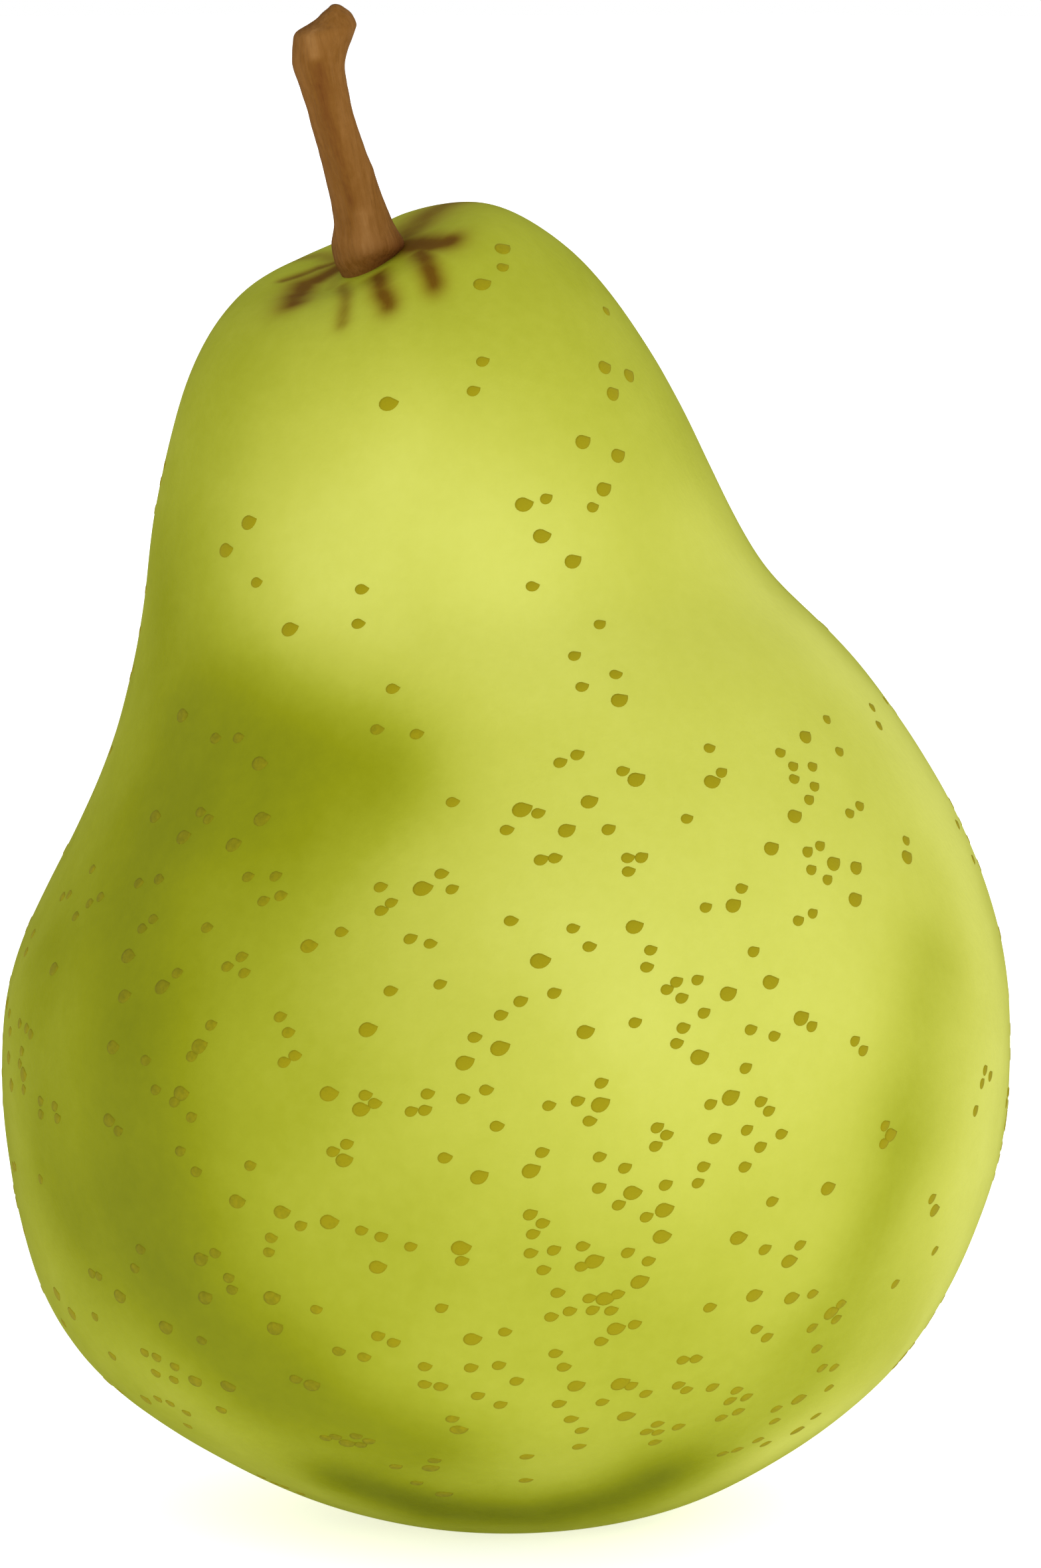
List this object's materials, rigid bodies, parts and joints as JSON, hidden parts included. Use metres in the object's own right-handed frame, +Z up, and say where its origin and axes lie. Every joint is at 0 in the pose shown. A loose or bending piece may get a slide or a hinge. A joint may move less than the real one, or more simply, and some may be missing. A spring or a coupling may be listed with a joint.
{
  "type": "pear",
  "caption": "Upright green pear with a leaning neck and a knobbed woody stem, standing on the flattened rim of its calyx basin, which holds the dry sepals and stamens of the flower.",
  "frame": {"origin": "on the surface that the pear stands on, under the middle of its widest ring", "axes": "+Z up from the base to the stem; -Y is the front; the neck and the stem lean to -X and a little to -Y"},
  "size_m": [0.072, 0.072, 0.1084],
  "materials": {
    "skin": null,
    "stem_bark": "matt, finely grained bark",
    "dry_sepal": "matt, dry and papery",
    "dry_stamen": "matt, dry and brittle"
  },
  "bodies": {
    "root": {"pear_body": "skin", "stem": "stem_bark", "calyx_disc": "dry_sepal", "stamens": "dry_stamen", "sepal_1": "dry_sepal", "sepal_2": "dry_sepal", "sepal_3": "dry_sepal", "sepal_4": "dry_sepal", "sepal_5": "dry_sepal"}
  },
  "joints": []
}
